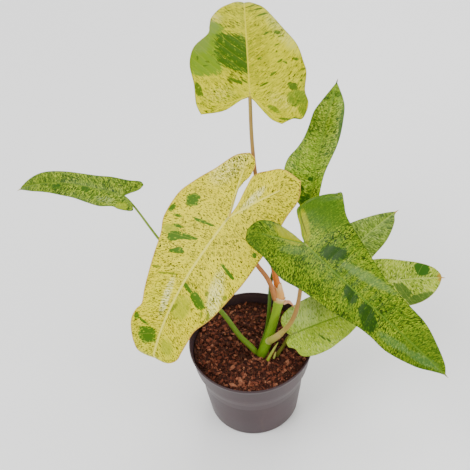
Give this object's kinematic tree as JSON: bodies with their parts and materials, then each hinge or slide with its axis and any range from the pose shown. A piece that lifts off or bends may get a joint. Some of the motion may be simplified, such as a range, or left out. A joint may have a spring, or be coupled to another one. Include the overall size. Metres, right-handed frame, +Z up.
{
  "type": "potted variegated philodendron",
  "caption": "Potted philodendron with long-lobed, arching leaves mottled in cream, yellow and green, in a plain tapered plastic nursery pot of bark mix.",
  "frame": {"origin": "centre of the pot's underside, on the plane it stands on", "axes": "+Z up through the middle of the pot; -Y is the side the two largest leaves lean to"},
  "size_m": [0.4006, 0.3523, 0.352],
  "materials": {
    "pot": "satin",
    "soil": "damp bark and coco chips",
    "stem": "smooth, fleshy, bright green",
    "cataphyll": "thin, papery, pale pink",
    "sprout": "smooth, fleshy, yellow-green",
    "blade_a": "satin leaf, mottled",
    "petiole_a": "smooth, fleshy",
    "blade_b": "satin leaf, mottled",
    "petiole_b": "smooth, fleshy",
    "blade_c": "satin leaf, mottled",
    "petiole_c": "smooth, fleshy",
    "blade_d": "satin leaf, mottled",
    "petiole_d": "smooth, fleshy",
    "blade_e": "satin leaf, mottled",
    "petiole_e": "smooth, fleshy",
    "blade_f": "satin leaf, mottled",
    "petiole_f": "smooth, fleshy",
    "blade_g": "satin leaf, mottled",
    "petiole_g": "smooth, fleshy",
    "blade_h": "satin leaf, mottled",
    "petiole_h": "smooth, fleshy"
  },
  "bodies": {
    "root": {"pot": "pot", "soil": "soil", "stem": "stem", "cataphyll": "cataphyll", "shoot": "sprout", "bud": "sprout", "blade_a": "blade_a", "petiole_a": "petiole_a", "blade_b": "blade_b", "petiole_b": "petiole_b", "blade_c": "blade_c", "petiole_c": "petiole_c", "blade_d": "blade_d", "petiole_d": "petiole_d", "blade_e": "blade_e", "petiole_e": "petiole_e", "blade_f": "blade_f", "petiole_f": "petiole_f", "blade_g": "blade_g", "petiole_g": "petiole_g", "blade_h": "blade_h", "petiole_h": "petiole_h"}
  },
  "joints": []
}
